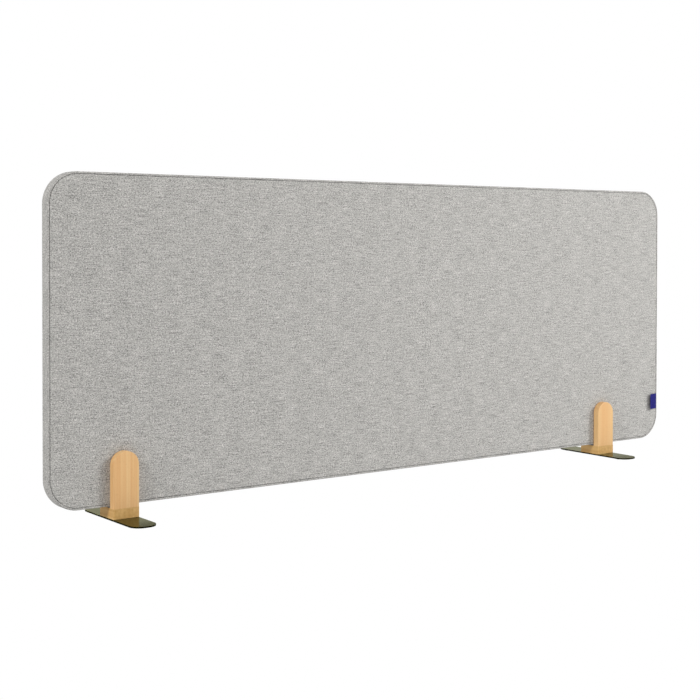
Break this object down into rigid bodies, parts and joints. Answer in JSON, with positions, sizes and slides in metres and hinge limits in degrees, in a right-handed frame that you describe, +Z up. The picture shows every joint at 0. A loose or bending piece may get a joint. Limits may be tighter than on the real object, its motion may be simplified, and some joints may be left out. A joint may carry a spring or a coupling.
{
  "type": "acoustic divider screen",
  "caption": "Free-standing acoustic divider: a cloth-covered absorbing panel with rounded corners, held upright in wooden fork feet on flat steel plates that slide along its lower edge.",
  "frame": {"origin": "on the table under the middle of the panel, at the level of the pads' undersides", "axes": "+X along the panel to the right as seen from the front, +Y from the front to the back, +Z up"},
  "size_m": [1.6, 0.214, 0.6268],
  "materials": {
    "cover_cloth": "matte",
    "closure_tape": "matte",
    "label_cloth": "satin",
    "grey_felt": "matte",
    "absorber_fleece": "matte",
    "pine": "matte",
    "beech": "satin",
    "dark_steel": "gloss",
    "zinc_steel": "satin",
    "pad_rubber": "matte"
  },
  "bodies": {
    "panel": {"cover_front": "cover_cloth", "cover_back": "cover_cloth", "edge_band": "cover_cloth", "flap_front": "cover_cloth", "flap_back": "cover_cloth", "hook_tape": "closure_tape", "loop_tape": "closure_tape", "label_tab": "label_cloth", "felt_front": "grey_felt", "felt_back": "grey_felt", "top_rail": "pine", "bottom_rail": "pine", "left_stile": "pine", "right_stile": "pine", "mid_stile_left": "pine", "mid_stile_right": "pine", "corner_block_top_left": "pine", "corner_block_top_right": "pine", "corner_block_bottom_left": "pine", "corner_block_bottom_right": "pine", "frame_dowels": "beech", "absorber_left": "absorber_fleece", "absorber_mid": "absorber_fleece", "absorber_right": "absorber_fleece"},
    "left_foot": {"left_base_plate": "dark_steel", "left_floor_pads": "pad_rubber", "left_base_block": "beech", "left_front_stave": "beech", "left_back_stave": "beech", "left_dowels": "beech", "left_screws": "zinc_steel", "left_felt_strip": "grey_felt"},
    "right_foot": {"right_base_plate": "dark_steel", "right_floor_pads": "pad_rubber", "right_base_block": "beech", "right_front_stave": "beech", "right_back_stave": "beech", "right_dowels": "beech", "right_screws": "zinc_steel", "right_felt_strip": "grey_felt"}
  },
  "joints": [
    {"name": "left_foot_slide", "type": "slide", "parent": "panel", "child": "left_foot", "axis": [1, 0, 0], "range_m": [-0.0605, 0.6255]},
    {"name": "right_foot_slide", "type": "slide", "parent": "panel", "child": "right_foot", "axis": [1, 0, 0], "range_m": [-0.5695, 0.1165]}
  ]
}
